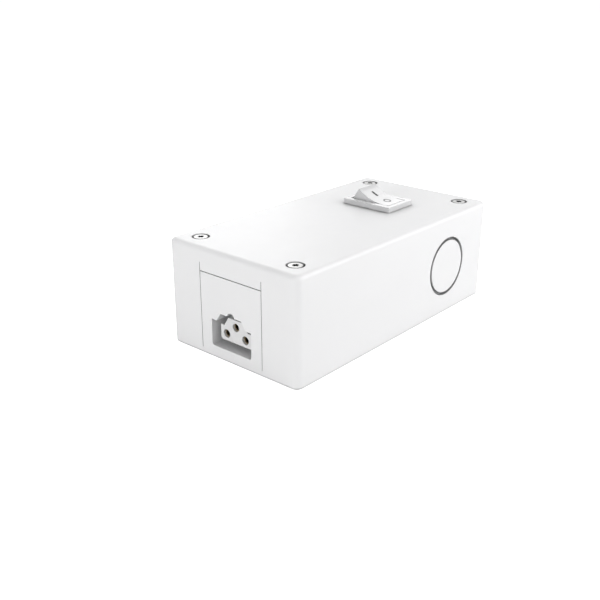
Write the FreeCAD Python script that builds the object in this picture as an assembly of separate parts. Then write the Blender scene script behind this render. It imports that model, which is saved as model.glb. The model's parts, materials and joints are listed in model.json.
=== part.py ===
import FreeCAD, Part
import math
import os

# Mains junction box with a rocker switch and a three-pin link socket, in millimetres.
# +Z is up, the socket end faces -Y, and the origin is the centre of the base's underside.

V = FreeCAD.Vector
X_AXIS = V(1, 0, 0)
Y_AXIS = V(0, 1, 0)
Z_AXIS = V(0, 0, 1)
SIDES = (-1, 1)

# Enclosure
LENGTH = 120.0
WIDTH = 62.8
HEIGHT = 41.3
CORNER_R = 2.8
TOP_FILLET = 1.8
WALL = 2.2
TOP_THICKNESS = 2.4
BASE_THICKNESS = 2.4
BASE_EDGE_FILLET = 0.6
FRONT = -LENGTH / 2
INNER_FRONT = FRONT + WALL
INNER_TOP = HEIGHT - TOP_THICKNESS
INNER_CORNER_R = CORNER_R - WALL

# Clearances: snug fits, screw holes, mating faces, loose parts
FIT_PLAY = 0.05
HOLE_PLAY = 0.1
FACE_GAP = 0.1
SLIP = 0.15
LOOSE_PLAY = 0.2

# Shape shared by all screws, as shares of the head radius, head height or shank radius
DOME_RATIO = 15.0
HEAD_SIDE_RATIO = 0.45
CROSS_REACH_RATIO = 0.46
CROSS_WIDTH_RATIO = 0.42
CROSS_DEPTH_RATIO = 0.75
CROSS_TAPER = 0.55
TIP_CHAMFER_RATIO = 0.3

# Cover screws, their recesses, and the posts that take them
SCREW_X = 23.0
SCREW_Y = 51.6
SCREW_R = 1.45
THREAD_R = 1.5
SCREW_LENGTH = 8.0
HEAD_R = 2.6
HEAD_HEIGHT = 1.7
HEAD_SINK = 0.06
HEAD_WELL_R = 3.4
SEAT_Z = HEIGHT - HEAD_SINK - HEAD_HEIGHT
SCREW_HOLE_R = 1.7
SCREW_BOSS_R = 5.0
SCREW_BOSS_Z = 36.5
POST_R = 4.0
POST_TOP = SCREW_BOSS_Z - FACE_GAP
POST_BORE_BOTTOM = SEAT_Z - SCREW_LENGTH - 1.0
INSERT_R = 2.1
INSERT_LENGTH = 5.0
INSERT_GROOVE = 0.3
RIB_THICKNESS = 1.4
RIB_REACH = 7.0
RIB_TOP = 22.0

# Cable knockouts: a ring groove that leaves a thin web
KNOCKOUT_R = 10.9
GROOVE_R = 12.15
WEB = 0.5
KNOCKOUT_Y = 31.3
KNOCKOUT_Z = 20.1
BASE_KNOCKOUT_Y = 40.0

# Base plate
LIP_THICKNESS = 1.2
LIP_HEIGHT = 3.0
LIP_GAP_X = 19.0
WALL_HOLE_X = 19.0
WALL_HOLE_Y = 33.0
WALL_HOLE_R = 2.25
WALL_BOSS_R = 5.0
WALL_BOSS_HEIGHT = 1.6

# Socket opening in the end wall, and the snap tongue above it
PANEL_X = 14.88
PANEL_TOP = 32.2
PANEL_SIDE_GAP = 0.22
PANEL_TOP_GAP = 0.3
SLOT_X = PANEL_X + PANEL_SIDE_GAP
SLOT_TOP = PANEL_TOP + PANEL_TOP_GAP
TONGUE_TOP = 35.6
FLANGE_X = 17.5
FLANGE_Y = INNER_FRONT + FACE_GAP
FLANGE_THICKNESS = 1.6
FLANGE_BOTTOM = BASE_THICKNESS + FACE_GAP
FLANGE_TOP = PANEL_TOP - 2.0
SHROUD_X = 11.7
SHROUD_BOTTOM = 3.2
SHROUD_TOP = 21.8
SOCKET_DEPTH = 12.0
SOCKET_FLOOR = FRONT + SOCKET_DEPTH

# Keyed recess of the socket: half widths and levels, from the bottom up
RECESS_X = 9.8
RECESS_BOTTOM = 4.85
RECESS_SHOULDER = 15.15
RECESS_STEP_X = 7.2
RECESS_HUMP_X = 5.1
RECESS_TOP = 18.3
RECESS_BOTTOM_R = 1.0
KEY_R = 1.85
KEY_Z = 17.95

# Raised core inside the recess
CORE_X = 7.65
CORE_BOTTOM = 7.2
CORE_SHOULDER = 13.0
CORE_STEP_X = 5.8
CORE_HUMP_X = 3.8
CORE_TOP = 16.3
CORE_BOTTOM_R = 0.9
CORE_SINK = 2.5
CORE_FACE = FRONT + CORE_SINK
CARRIER_FLANGE = 3.0
CARRIER_BACK = SOCKET_FLOOR + CARRIER_FLANGE

# Pin contacts
POWER_PIN_X = 4.65
POWER_PIN_Z = 9.9
EARTH_PIN_Z = 13.5
PIN_HOLE_R = 1.6
SLEEVE_R = 1.6
SLEEVE_BORE_R = 1.2
SLEEVE_SINK = 1.0
SLEEVE_DEPTH = 10.0
COLLAR_R = 2.1
COLLAR_LENGTH = 1.0
CRIMP_LENGTH = 6.0
CRIMP_BORE_R = 1.0
SLEEVE_FRONT = CORE_FACE + SLEEVE_SINK
COLLAR_BACK = CARRIER_BACK + COLLAR_LENGTH
CRIMP_BACK = COLLAR_BACK + CRIMP_LENGTH

# Contact retainer and its screws
RETAINER_THICKNESS = 2.2
RETAINER_BACK = COLLAR_BACK + RETAINER_THICKNESS
RETAINER_HOLE_R = 1.75
RETAINER_SCREW_X = 9.2
RETAINER_SCREW_Z = 18.9
RETAINER_SCREW_R = 1.0
RETAINER_SCREW_LENGTH = 9.0
RETAINER_SCREW_FRONT = RETAINER_BACK - RETAINER_SCREW_LENGTH - 0.5
RETAINER_HEAD_R = 1.9
RETAINER_HEAD_HEIGHT = 1.2

# Rocker switch
SWITCH_Y = 25.85
BEZEL_X = 11.35
BEZEL_Y = 8.1
BEZEL_HEIGHT = 2.15
BEZEL_TOP = HEIGHT + BEZEL_HEIGHT
BEZEL_EDGE_R = 0.15
OPENING_X = 9.52
OPENING_Y = 5.92
SHELL_X = 10.6
SHELL_Y = 6.6
SHELL_BOTTOM = 26.3
SHELL_FLOOR = 1.5
FLOOR_TOP = SHELL_BOTTOM + SHELL_FLOOR
CUTOUT_X = SHELL_X + LOOSE_PLAY
CUTOUT_Y = SHELL_Y + LOOSE_PLAY
WING_Y = 3.0
WING_REACH = 0.7
WING_BOTTOM = 34.5
WING_TOP = INNER_TOP - FIT_PLAY
WING_SLIT = 0.4
WING_SLIT_BOTTOM = FLOOR_TOP + 2.0

# Rocker, drawn level around its pivot and then tipped to the O position
PIVOT_Z = 39.55
PIVOT = V(0, SWITCH_Y, PIVOT_Z)
ROCKER_TILT = 16.0
ROCKER_REACH = 9.18
ROCKER_Y = 5.6
ROCKER_EDGE_R = 0.12
ROCKER_BOTTOM = -1.5
DISH_R = 21.5
DISH_CENTRE = 26.39
DISH_END_X = 7.75
ROCKER_SKIN = 1.3
ROCKER_SIDE_WALL = 1.0
CAVITY_X = 8.1
CAVITY_TOP_X = 6.4
TRUNNION_R = 1.3
TRUNNION_END = 6.5
TRUNNION_HOLE_R = TRUNNION_R + FIT_PLAY
PLUNGER_POST_R = 2.1
PLUNGER_POST_BOTTOM = -4.8
PLUNGER_BORE_TOP = 1.0

# Plunger, spring, lever and blades inside the switch
PLUNGER_R = 1.25
PLUNGER_BORE_R = PLUNGER_R + FIT_PLAY
PLUNGER_BODY = 3.4
LEVER_TILT = 8.0
LEVER_Z = 30.95
LEVER_PIVOT = V(0, SWITCH_Y, LEVER_Z)
LEVER_THICKNESS = 0.8
LEVER_NOTCH_R = 0.45
LEVER_BEND = 12.0
LEVER_REACH = 6.5
LEVER_HALF_WIDTH = 2.5
LEVER_GAP = 0.08
PLUNGER_TIP_Z = LEVER_Z - PIVOT_Z + LEVER_NOTCH_R + LEVER_THICKNESS + PLUNGER_R + LEVER_GAP
SPRING_R = 0.9
SPRING_WIRE_R = 0.18
SPRING_COILS = 5
RIVET_X = 5.2
RIVET_R = 1.1
RIVET_THICKNESS = 0.6
BLADE_Y = 2.4
BLADE_THICKNESS = 0.8
BLADE_BOTTOM = 19.5
LOAD_BLADE_X = 5.6
LOAD_PAD_REACH = 1.5
LOAD_PAD_THICKNESS = 0.8
STOP_X = 5.6
STOP_THICKNESS = 1.0
STOP_HEIGHT = 3.75

# Spade connectors and their insulating sleeves
SPADE_X = 1.3
SPADE_Y = 3.2
SPADE_TOP = 25.8
SPADE_BOTTOM = 19.2
SPADE_NECK = 1.0
SPADE_NECK_X = 0.78
SPADE_SLOT_BOTTOM = SPADE_BOTTOM + 0.2
BARREL_R = 1.7
BARREL_BOTTOM = 13.2
BARREL_BORE_R = 1.0
BOOT_X = 2.5
BOOT_Y = 4.2
BOOT_WALL = 0.6
BOOT_BOTTOM = 13.5
BOOT_TOP = 26.1

# Terminal block
BLOCK_Y = -10.0
BLOCK_X = 15.5
BLOCK_HALF_LENGTH = 8.5
BLOCK_BOTTOM = 4.4
BLOCK_TOP = 17.4
BLOCK_EDGE_R = 0.8
POLE_PITCH = 10.0
NEUTRAL_POLE = -1
EARTH_POLE = 0
LIVE_POLE = 1
POLES = (NEUTRAL_POLE, EARTH_POLE, LIVE_POLE)
CLAMP_Z = 10.9
CLAMP_R = 2.2
CLAMP_BORE_R = 1.5
CLAMP_HALF_LENGTH = 7.5
CLAMP_SCREW_Y = 4.2
CLAMP_SCREW_R = 1.3
CLAMP_SCREW_HEAD_R = 1.9
CLAMP_SCREW_HEAD = 1.5
CLAMP_SCREW_TIP = CLAMP_Z + 0.9
CLAMP_SCREW_TOP = CLAMP_Z + 4.7
BLOCK_WELL_R = 2.1
BLOCK_PAD_R = 3.0
BLOCK_SCREW_R = 1.4
BLOCK_SCREW_HEAD_R = 2.2
BLOCK_SCREW_HEAD = 1.6
BLOCK_SCREW_SEAT = 8.0
BLOCK_SCREW_TIP = 1.4
BLOCK_SCREW_HOLE_BOTTOM = 1.1

# Wires
WIRE_R = 1.3
CONDUCTOR_R = 0.8
STRIP = 4.5
END_GAP = 0.3
BEND_R = 3.0
BLOCK_CORNER_Y = -24.0
CONTACT_CORNER_Y = -33.0
SUPPLY_RUN_X = BLOCK_X + 4.0
SUPPLY_RUN_Y = 8.0
SUPPLY_LEVEL = 6.0
SWITCHED_RUN_X = BLOCK_X + 9.5
SWITCHED_RUN_Y = 12.0
SWITCHED_END_Y = -31.0
SWITCHED_LEVEL = 9.2


def block(x0, x1, y0, y1, z0, z1):
    return Part.makeBox(x1 - x0, y1 - y0, z1 - z0, V(x0, y0, z0))


def centred_block(half_x, half_y, z0, z1, x=0.0, y=0.0):
    return block(x - half_x, x + half_x, y - half_y, y + half_y, z0, z1)


def upright_edges(shape):
    return [e for e in shape.Edges if abs(e.tangentAt(e.FirstParameter).z) > 0.999]


def edges_at_level(shape, z):
    return [e for e in shape.Edges if all(abs(v.Z - z) < 1e-6 for v in e.Vertexes)]


def rounded_block(half_x, half_y, z0, z1, corner_r, x=0.0, y=0.0):
    box = centred_block(half_x, half_y, z0, z1, x, y)
    return box.makeFillet(corner_r, upright_edges(box))


def upright_rod(r, x, y, z0, z1):
    return Part.makeCylinder(r, z1 - z0, V(x, y, z0), Z_AXIS)


def lengthwise_rod(r, x, z, y0, y1):
    return Part.makeCylinder(r, y1 - y0, V(x, y0, z), Y_AXIS)


def prism_along_y(half_outline, y0, y1):
    """Solid between y0 and y1 whose XZ outline is half_outline mirrored about x = 0."""
    right = [V(x, y0, z) for x, z in half_outline]
    left = [V(-p.x, p.y, p.z) for p in reversed(right)]
    face = Part.Face(Part.makePolygon(right + left + [right[0]]))
    return face.extrude(V(0, y1 - y0, 0))


def round_bottom_corners(prism, z, r):
    edges = []
    for e in prism.Edges:
        lengthwise = abs(e.tangentAt(e.FirstParameter).y) > 0.999
        if lengthwise and abs(e.Vertexes[0].Z - z) < 1e-6:
            edges.append(e)
    return prism.makeFillet(r, edges)


def corner_points():
    return [(sx * SCREW_X, sy * SCREW_Y) for sx in SIDES for sy in SIDES]


def ring(outer_r, inner_r, length, centre, axis):
    outer = Part.makeCylinder(outer_r, length, centre, axis)
    return outer.cut(Part.makeCylinder(inner_r, length, centre, axis))


def cross_recess(x, y, top, reach, width, depth):
    """Tapered cross for a screwdriver, cut down from the top of an upright screw head."""
    arms = []
    for half_x, half_y in ((reach, width / 2), (width / 2, reach)):
        mouth = Part.makePolygon([
            V(x - half_x, y - half_y, top),
            V(x + half_x, y - half_y, top),
            V(x + half_x, y + half_y, top),
            V(x - half_x, y + half_y, top),
            V(x - half_x, y - half_y, top),
        ])
        floor_x = half_x * CROSS_TAPER
        floor_y = half_y * CROSS_TAPER
        floor = Part.makePolygon([
            V(x - floor_x, y - floor_y, top - depth),
            V(x + floor_x, y - floor_y, top - depth),
            V(x + floor_x, y + floor_y, top - depth),
            V(x - floor_x, y + floor_y, top - depth),
            V(x - floor_x, y - floor_y, top - depth),
        ])
        arms.append(Part.makeLoft([mouth, floor], True, True))
    return arms[0].fuse(arms[1])


def pan_screw(x, y, seat, length, shank_r, head_r, head_height):
    """Upright machine screw with a domed head on its seat and a cross recess."""
    top = seat + head_height
    head = upright_rod(head_r, x, y, seat, top)
    dome_r = head_r * DOME_RATIO
    dome = Part.makeSphere(dome_r, V(x, y, top - dome_r))
    side = upright_rod(head_r, x, y, seat, seat + head_height * HEAD_SIDE_RATIO)
    head = head.common(dome).fuse(side).removeSplitter()
    shank = upright_rod(shank_r, x, y, seat - length, seat)
    screw = head.fuse(shank)
    tip_edges = edges_at_level(screw, seat - length)
    screw = screw.makeChamfer(shank_r * TIP_CHAMFER_RATIO, tip_edges)
    reach = head_r * CROSS_REACH_RATIO
    width = head_r * CROSS_WIDTH_RATIO
    depth = head_height * CROSS_DEPTH_RATIO
    return screw.cut(cross_recess(x, y, top, reach, width, depth))


def knockout_groove(centre, inward):
    """Ring cut from an outer wall face at centre, leaving the web; inward is the wall's depth axis."""
    depth = WALL - WEB
    return ring(GROOVE_R, KNOCKOUT_R, depth, centre, inward)


def make_cover():
    half_x = WIDTH / 2
    half_y = LENGTH / 2
    shell = rounded_block(half_x, half_y, BASE_THICKNESS, HEIGHT, CORNER_R)
    shell = shell.makeFillet(TOP_FILLET, edges_at_level(shell, HEIGHT))
    cavity = rounded_block(half_x - WALL, half_y - WALL, BASE_THICKNESS, INNER_TOP, INNER_CORNER_R)
    shell = shell.cut(cavity)
    bosses = [upright_rod(SCREW_BOSS_R, x, y, SCREW_BOSS_Z, INNER_TOP) for x, y in corner_points()]
    shell = shell.multiFuse(bosses)
    cuts = []
    for x, y in corner_points():
        cuts.append(upright_rod(HEAD_WELL_R, x, y, SEAT_Z, HEIGHT))
        cuts.append(upright_rod(SCREW_HOLE_R, x, y, SCREW_BOSS_Z, SEAT_Z))
    for side in SIDES:
        centre = V(side * half_x, KNOCKOUT_Y, KNOCKOUT_Z)
        cuts.append(knockout_groove(centre, X_AXIS * -side))
    cuts.append(knockout_groove(V(0, half_y, KNOCKOUT_Z), -Y_AXIS))
    cuts.append(centred_block(CUTOUT_X, CUTOUT_Y, INNER_TOP, HEIGHT, y=SWITCH_Y))
    cuts.append(block(-SLOT_X, SLOT_X, FRONT, INNER_FRONT, BASE_THICKNESS, SLOT_TOP))
    for side in SIDES:
        low, high = sorted((side * PANEL_X, side * SLOT_X))
        cuts.append(block(low, high, FRONT, INNER_FRONT, SLOT_TOP, TONGUE_TOP))
    return shell.cut(cuts)


def make_base_plate():
    half_x = WIDTH / 2
    half_y = LENGTH / 2
    plate = rounded_block(half_x, half_y, 0, BASE_THICKNESS, CORNER_R)
    plate = plate.makeFillet(BASE_EDGE_FILLET, edges_at_level(plate, 0))
    lip_x = half_x - WALL - SLIP
    lip_y = half_y - WALL - SLIP
    lip_top = BASE_THICKNESS + LIP_HEIGHT
    lip = rounded_block(lip_x, lip_y, BASE_THICKNESS, lip_top, INNER_CORNER_R)
    lip = lip.cut(centred_block(lip_x - LIP_THICKNESS, lip_y - LIP_THICKNESS, BASE_THICKNESS, lip_top))
    lip = lip.cut(block(-LIP_GAP_X, LIP_GAP_X, FRONT, 0, BASE_THICKNESS, lip_top))
    adds = [lip]
    for x, y in corner_points():
        adds.append(upright_rod(POST_R, x, y, BASE_THICKNESS, POST_TOP))
        towards_centre = -1 if y > 0 else 1
        rib_y = y + towards_centre * RIB_REACH / 2
        adds.append(centred_block(RIB_THICKNESS / 2, RIB_REACH / 2, BASE_THICKNESS, RIB_TOP, x, rib_y))
    wall_holes = [(sx * WALL_HOLE_X, sy * WALL_HOLE_Y) for sx in SIDES for sy in SIDES]
    for x, y in wall_holes:
        adds.append(upright_rod(WALL_BOSS_R, x, y, BASE_THICKNESS, BASE_THICKNESS + WALL_BOSS_HEIGHT))
    for side in SIDES:
        adds.append(upright_rod(BLOCK_PAD_R, side * POLE_PITCH / 2, BLOCK_Y, BASE_THICKNESS, BLOCK_BOTTOM))
    plate = plate.multiFuse(adds).removeSplitter()
    cuts = []
    for x, y in corner_points():
        cuts.append(upright_rod(INSERT_R, x, y, POST_TOP - INSERT_LENGTH, POST_TOP))
        cuts.append(upright_rod(SCREW_HOLE_R, x, y, POST_BORE_BOTTOM, POST_TOP - INSERT_LENGTH))
    for x, y in wall_holes:
        cuts.append(upright_rod(WALL_HOLE_R, x, y, 0, BASE_THICKNESS + WALL_BOSS_HEIGHT))
    for side in SIDES:
        x = side * POLE_PITCH / 2
        cuts.append(upright_rod(BLOCK_SCREW_R, x, BLOCK_Y, BLOCK_SCREW_HOLE_BOTTOM, BLOCK_BOTTOM))
    cuts.append(knockout_groove(V(0, BASE_KNOCKOUT_Y, 0), Z_AXIS))
    return plate.cut(cuts)


def make_cover_screws():
    screws = []
    for x, y in corner_points():
        screws.append(pan_screw(x, y, SEAT_Z, SCREW_LENGTH, SCREW_R, HEAD_R, HEAD_HEIGHT))
    return Part.makeCompound(screws)


def make_inserts():
    inserts = []
    middle = POST_TOP - INSERT_LENGTH / 2
    for x, y in corner_points():
        insert = upright_rod(INSERT_R, x, y, POST_TOP - INSERT_LENGTH, POST_TOP)
        groove = ring(INSERT_R, INSERT_R - INSERT_GROOVE, 2 * INSERT_GROOVE, V(x, y, middle), Z_AXIS)
        bore = upright_rod(THREAD_R, x, y, POST_TOP - INSERT_LENGTH, POST_TOP)
        inserts.append(insert.cut(groove).cut(bore))
    return Part.makeCompound(inserts)


def recess_outline():
    return [
        (RECESS_X, RECESS_BOTTOM),
        (RECESS_X, RECESS_SHOULDER),
        (RECESS_STEP_X, RECESS_SHOULDER),
        (RECESS_HUMP_X, RECESS_TOP),
    ]


def core_outline():
    return [
        (CORE_X, CORE_BOTTOM),
        (CORE_X, CORE_SHOULDER),
        (CORE_STEP_X, CORE_SHOULDER),
        (CORE_HUMP_X, CORE_TOP),
    ]


def pin_positions():
    return {
        "live": (POWER_PIN_X, POWER_PIN_Z),
        "neutral": (-POWER_PIN_X, POWER_PIN_Z),
        "earth": (0.0, EARTH_PIN_Z),
    }


def make_socket_housing():
    panel = block(-PANEL_X, PANEL_X, FRONT, INNER_FRONT, BASE_THICKNESS, PANEL_TOP)
    flange_back = FLANGE_Y + FLANGE_THICKNESS
    flange = block(-FLANGE_X, FLANGE_X, FLANGE_Y, flange_back, FLANGE_BOTTOM, FLANGE_TOP)
    neck = block(-PANEL_X, PANEL_X, INNER_FRONT, FLANGE_Y, FLANGE_BOTTOM, FLANGE_TOP)
    shroud = block(-SHROUD_X, SHROUD_X, INNER_FRONT, SOCKET_FLOOR, SHROUD_BOTTOM, SHROUD_TOP)
    housing = panel.multiFuse([flange, neck, shroud]).removeSplitter()
    recess = prism_along_y(recess_outline(), FRONT, SOCKET_FLOOR)
    recess = round_bottom_corners(recess, RECESS_BOTTOM, RECESS_BOTTOM_R)
    recess = recess.fuse(lengthwise_rod(KEY_R, 0, KEY_Z, FRONT, SOCKET_FLOOR))
    housing = housing.cut(recess)
    screw_holes = []
    for side in SIDES:
        x = side * RETAINER_SCREW_X
        hole = lengthwise_rod(RETAINER_SCREW_R, x, RETAINER_SCREW_Z, RETAINER_SCREW_FRONT, SOCKET_FLOOR)
        screw_holes.append(hole)
    return housing.cut(screw_holes)


def make_contact_carrier():
    flange = block(-SHROUD_X, SHROUD_X, SOCKET_FLOOR, CARRIER_BACK, SHROUD_BOTTOM, SHROUD_TOP)
    core = prism_along_y(core_outline(), CORE_FACE, SOCKET_FLOOR)
    core = round_bottom_corners(core, CORE_BOTTOM, CORE_BOTTOM_R)
    carrier = core.fuse(flange)
    cuts = []
    for x, z in pin_positions().values():
        cuts.append(lengthwise_rod(PIN_HOLE_R, x, z, CORE_FACE, CARRIER_BACK))
    for side in SIDES:
        x = side * RETAINER_SCREW_X
        hole_r = RETAINER_SCREW_R + HOLE_PLAY
        cuts.append(lengthwise_rod(hole_r, x, RETAINER_SCREW_Z, SOCKET_FLOOR, CARRIER_BACK))
    return carrier.cut(cuts)


def make_contact(x, z):
    """Turned brass contact: a pin sleeve in front, a collar, and a crimp barrel for its wire."""
    sleeve = lengthwise_rod(SLEEVE_R, x, z, SLEEVE_FRONT, CARRIER_BACK)
    collar = lengthwise_rod(COLLAR_R, x, z, CARRIER_BACK, COLLAR_BACK)
    crimp = lengthwise_rod(SLEEVE_R, x, z, COLLAR_BACK, CRIMP_BACK)
    contact = sleeve.multiFuse([collar, crimp]).removeSplitter()
    pin_bore = lengthwise_rod(SLEEVE_BORE_R, x, z, SLEEVE_FRONT, SLEEVE_FRONT + SLEEVE_DEPTH)
    wire_bore = lengthwise_rod(CRIMP_BORE_R, x, z, CRIMP_BACK - STRIP, CRIMP_BACK)
    return contact.cut([pin_bore, wire_bore])


def make_contact_retainer():
    plate = block(-SHROUD_X, SHROUD_X, CARRIER_BACK, RETAINER_BACK, SHROUD_BOTTOM, SHROUD_TOP)
    cuts = []
    for x, z in pin_positions().values():
        cuts.append(lengthwise_rod(COLLAR_R + FIT_PLAY, x, z, CARRIER_BACK, COLLAR_BACK))
        cuts.append(lengthwise_rod(RETAINER_HOLE_R, x, z, COLLAR_BACK, RETAINER_BACK))
    for side in SIDES:
        x = side * RETAINER_SCREW_X
        hole_r = RETAINER_SCREW_R + HOLE_PLAY
        cuts.append(lengthwise_rod(hole_r, x, RETAINER_SCREW_Z, CARRIER_BACK, RETAINER_BACK))
    return plate.cut(cuts)


def make_retainer_screws():
    screws = []
    for side in SIDES:
        screw = pan_screw(0, 0, 0, RETAINER_SCREW_LENGTH, RETAINER_SCREW_R, RETAINER_HEAD_R,
                          RETAINER_HEAD_HEIGHT)
        screw.rotate(V(0, 0, 0), X_AXIS, -90)
        screw.translate(V(side * RETAINER_SCREW_X, RETAINER_BACK, RETAINER_SCREW_Z))
        screws.append(screw)
    return Part.makeCompound(screws)


def make_switch_body():
    bezel = rounded_block(BEZEL_X, BEZEL_Y, HEIGHT, BEZEL_TOP, BEZEL_EDGE_R, y=SWITCH_Y)
    bezel = bezel.makeFillet(BEZEL_EDGE_R, edges_at_level(bezel, BEZEL_TOP))
    shell = centred_block(SHELL_X, SHELL_Y, SHELL_BOTTOM, HEIGHT, y=SWITCH_Y)
    body = bezel.fuse(shell)
    wings = []
    for side in SIDES:
        foot = V(side * SHELL_X, SWITCH_Y - WING_Y, WING_BOTTOM)
        tip = V(side * (SHELL_X + WING_REACH), SWITCH_Y - WING_Y, WING_TOP)
        root = V(side * SHELL_X, SWITCH_Y - WING_Y, WING_TOP)
        wings.append(Part.Face(Part.makePolygon([foot, tip, root, foot])).extrude(V(0, 2 * WING_Y, 0)))
    body = body.multiFuse(wings)
    cuts = [centred_block(OPENING_X, OPENING_Y, FLOOR_TOP, BEZEL_TOP, y=SWITCH_Y)]
    hole_length = 2 * SHELL_Y
    cuts.append(Part.makeCylinder(TRUNNION_HOLE_R, hole_length, PIVOT - Y_AXIS * SHELL_Y, Y_AXIS))
    for x in (0.0, LOAD_BLADE_X):
        cuts.append(centred_block(BLADE_THICKNESS / 2, BLADE_Y, SHELL_BOTTOM, FLOOR_TOP, x, SWITCH_Y))
    for side_y in SIDES:
        slit_y = SWITCH_Y + side_y * (WING_Y + WING_SLIT)
        cuts.append(centred_block(SHELL_X, WING_SLIT / 2, WING_SLIT_BOTTOM, WING_TOP, y=slit_y))
    body = body.cut(cuts)
    stop_top = FLOOR_TOP + STOP_HEIGHT
    stop = centred_block(STOP_THICKNESS / 2, OPENING_Y, FLOOR_TOP, stop_top, -STOP_X, SWITCH_Y)
    return body.fuse(stop).removeSplitter()


def rocker_profile():
    """Level outline of the rocker in XZ about its pivot: dished top, ends that clear the opening."""
    tilt = math.radians(ROCKER_TILT)
    dish_end_z = DISH_CENTRE - math.sqrt(DISH_R ** 2 - DISH_END_X ** 2)
    flank_x = ROCKER_REACH * math.cos(tilt)
    flank_z = ROCKER_REACH * math.sin(tilt)
    foot_x = math.sqrt(ROCKER_REACH ** 2 - ROCKER_BOTTOM ** 2)
    left_end = V(-DISH_END_X, 0, dish_end_z)
    right_end = V(DISH_END_X, 0, dish_end_z)
    left_flank = V(-flank_x, 0, flank_z)
    right_flank = V(flank_x, 0, flank_z)
    left_foot = V(-foot_x, 0, ROCKER_BOTTOM)
    right_foot = V(foot_x, 0, ROCKER_BOTTOM)
    left_side = V(-ROCKER_REACH, 0, 0)
    right_side = V(ROCKER_REACH, 0, 0)
    dish_bottom = V(0, 0, DISH_CENTRE - DISH_R)
    return Part.Wire([
        Part.Arc(left_end, dish_bottom, right_end).toShape(),
        Part.makeLine(right_end, right_flank),
        Part.Arc(right_flank, right_side, right_foot).toShape(),
        Part.makeLine(right_foot, left_foot),
        Part.Arc(left_foot, left_side, left_flank).toShape(),
        Part.makeLine(left_flank, left_end),
    ])


def rocker_cavity():
    inner_r = DISH_R + ROCKER_SKIN
    top_z = DISH_CENTRE - math.sqrt(inner_r ** 2 - CAVITY_TOP_X ** 2)
    left_top = V(-CAVITY_TOP_X, 0, top_z)
    right_top = V(CAVITY_TOP_X, 0, top_z)
    left_foot = V(-CAVITY_X, 0, ROCKER_BOTTOM)
    right_foot = V(CAVITY_X, 0, ROCKER_BOTTOM)
    middle = V(0, 0, DISH_CENTRE - inner_r)
    outline = Part.Wire([
        Part.Arc(left_top, middle, right_top).toShape(),
        Part.makeLine(right_top, right_foot),
        Part.makeLine(right_foot, left_foot),
        Part.makeLine(left_foot, left_top),
    ])
    half_y = ROCKER_Y - ROCKER_SIDE_WALL
    outline.translate(V(0, -half_y, 0))
    return Part.Face(outline).extrude(V(0, 2 * half_y, 0))


def tip_rocker_part(shape):
    """Moves a shape from the level rocker frame to the rest pose, with the O end pressed."""
    shape.rotate(V(0, 0, 0), Y_AXIS, ROCKER_TILT)
    shape.translate(PIVOT)
    return shape


def make_rocker():
    outline = rocker_profile()
    outline.translate(V(0, -ROCKER_Y, 0))
    cap = Part.Face(outline).extrude(V(0, 2 * ROCKER_Y, 0))
    top_edges = [e for e in cap.Edges if min(v.Z for v in e.Vertexes) > ROCKER_REACH / 2]
    cap = cap.makeFillet(ROCKER_EDGE_R, top_edges)
    cap = cap.cut(rocker_cavity())
    post_top = DISH_CENTRE - DISH_R - ROCKER_SKIN / 2
    post = upright_rod(PLUNGER_POST_R, 0, 0, PLUNGER_POST_BOTTOM, post_top)
    trunnions = Part.makeCylinder(TRUNNION_R, 2 * TRUNNION_END, V(0, -TRUNNION_END, 0), Y_AXIS)
    side_bars = centred_block(ROCKER_REACH, ROCKER_Y - ROCKER_SIDE_WALL, ROCKER_BOTTOM, DISH_R)
    trunnions = trunnions.cut(side_bars)
    cap = cap.multiFuse([post, trunnions])
    cap = cap.cut(upright_rod(PLUNGER_BORE_R, 0, 0, PLUNGER_POST_BOTTOM, PLUNGER_BORE_TOP))
    return tip_rocker_part(cap)


def make_plunger():
    top = PLUNGER_TIP_Z + PLUNGER_BODY
    body = upright_rod(PLUNGER_R, 0, 0, PLUNGER_TIP_Z, top)
    plunger = body.fuse(Part.makeSphere(PLUNGER_R, V(0, 0, PLUNGER_TIP_Z))).removeSplitter()
    return tip_rocker_part(plunger)


def make_plunger_spring():
    bottom = PLUNGER_TIP_Z + PLUNGER_BODY + SPRING_WIRE_R
    height = PLUNGER_BORE_TOP - bottom - SPRING_WIRE_R
    helix = Part.makeHelix(height / SPRING_COILS, height, SPRING_R)
    start = V(SPRING_R, 0, 0)
    section = Part.Wire(Part.makeCircle(SPRING_WIRE_R, start, helix.Edges[0].tangentAt(0)))
    spring = Part.Wire(helix.Edges).makePipeShell([section], True, True)
    spring.translate(V(0, 0, bottom))
    return tip_rocker_part(spring)


def make_contact_lever():
    """Dished see-saw contact, drawn level about its notch and then tipped to the O position."""
    bend = math.tan(math.radians(LEVER_BEND))
    low = LEVER_NOTCH_R
    high = LEVER_NOTCH_R + LEVER_THICKNESS
    rise = LEVER_REACH * bend
    half_y = LEVER_HALF_WIDTH
    points = [
        V(0, -half_y, low),
        V(LEVER_REACH, -half_y, low + rise),
        V(LEVER_REACH, -half_y, high + rise),
        V(0, -half_y, high),
        V(-LEVER_REACH, -half_y, high + rise),
        V(-LEVER_REACH, -half_y, low + rise),
    ]
    lever = Part.Face(Part.makePolygon(points + [points[0]])).extrude(V(0, 2 * half_y, 0))
    notch = Part.makeCylinder(LEVER_NOTCH_R, 2 * half_y, V(0, -half_y, 0), Y_AXIS)
    rivet_z = low + RIVET_X * bend
    rivet = upright_rod(RIVET_R, RIVET_X, 0, rivet_z - RIVET_THICKNESS, rivet_z + LEVER_THICKNESS / 2)
    lever = lever.cut(notch).fuse(rivet).removeSplitter()
    lever.rotate(V(0, 0, 0), Y_AXIS, -LEVER_TILT)
    lever.translate(LEVER_PIVOT)
    return lever


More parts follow.
